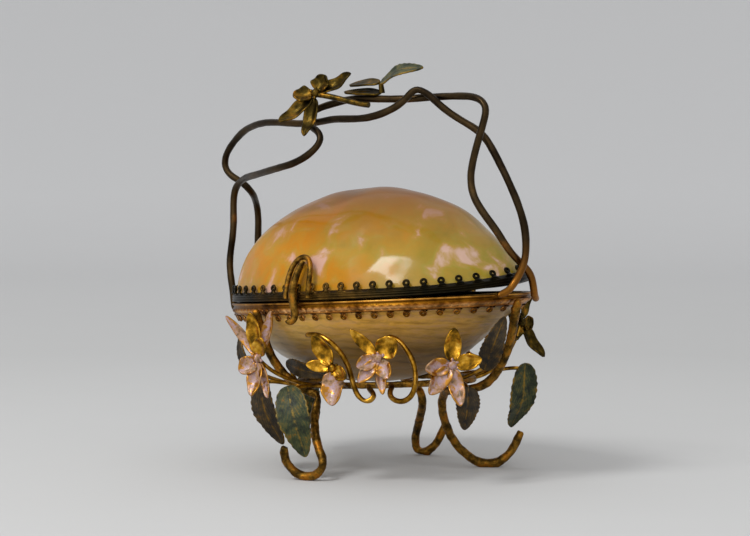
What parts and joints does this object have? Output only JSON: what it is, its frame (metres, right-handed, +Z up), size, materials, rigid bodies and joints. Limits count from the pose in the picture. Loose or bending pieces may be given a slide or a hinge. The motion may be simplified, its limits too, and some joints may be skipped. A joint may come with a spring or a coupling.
{
  "type": "shell box",
  "caption": "Trinket box of two mother-of-pearl shell halves in toothed metal rims, hinged at the back, on wire legs with flowers and leaves and a bent wire handle.",
  "frame": {"origin": "under the middle of the whole, on the surface that the feet stand on", "axes": "+Z up, -Y towards the front with the spring catch, +Y towards the hinge, +X along the shell towards the end where the lid stands a little open"},
  "size_m": [0.1068, 0.0726, 0.1128],
  "materials": {
    "lid_nacre": "polished mother-of-pearl, honey with pink and green lights",
    "bowl_nacre": "polished mother-of-pearl, olive brown with lilac lights",
    "gilt_rim": "worn gilt with brown patina",
    "dark_rim": "dark bronze patina",
    "handle_bronze": "dark brown bronze patina",
    "leg_bronze": "rubbed gilt over a bark-textured wire",
    "bright_gilt": "bright gilt",
    "petal_enamel": "gilt with worn pinkish-white enamel",
    "leaf_enamel": "dark grey-green enamel with gilt wear"
  },
  "bodies": {
    "stand": {"bowl_shell": "bowl_nacre", "bowl_rim": "gilt_rim", "hinge_leaf_bowl": "dark_rim", "hinge_pin": "dark_rim", "handle_wire_back": "handle_bronze", "handle_wire_front": "handle_bronze", "handle_flower": "bright_gilt", "handle_leaves": "leaf_enamel", "cradle_ring": "leg_bronze", "tendril_front": "bright_gilt", "tendril_right": "bright_gilt", "tendril_back": "bright_gilt", "flower_left": "petal_enamel", "flower_front": "petal_enamel", "flower_middle": "petal_enamel", "flower_right": "petal_enamel", "flower_end": "petal_enamel", "flower_back": "petal_enamel", "leaf_front": "leaf_enamel", "leaf_left_dark": "leaf_enamel", "leaf_under": "leaf_enamel", "leaf_left_small": "leaf_enamel", "leaf_right_tall": "leaf_enamel", "leaf_end": "leaf_enamel", "leaf_right_dark": "leaf_enamel", "leaf_back": "leaf_enamel", "leg_front": "leg_bronze", "leg_right": "leg_bronze", "leg_back": "leg_bronze"},
    "lid": {"lid_shell": "lid_nacre", "lid_rim": "dark_rim", "hinge_leaf_lid": "dark_rim", "spring_catch": "dark_rim"}
  },
  "joints": [
    {"name": "lid_hinge", "type": "hinge", "parent": "stand", "child": "lid", "pos_m": [0.00054, 0.03449, 0.0487], "axis": [-0.9981, 0, -0.061], "range_deg": [0, 100]}
  ]
}
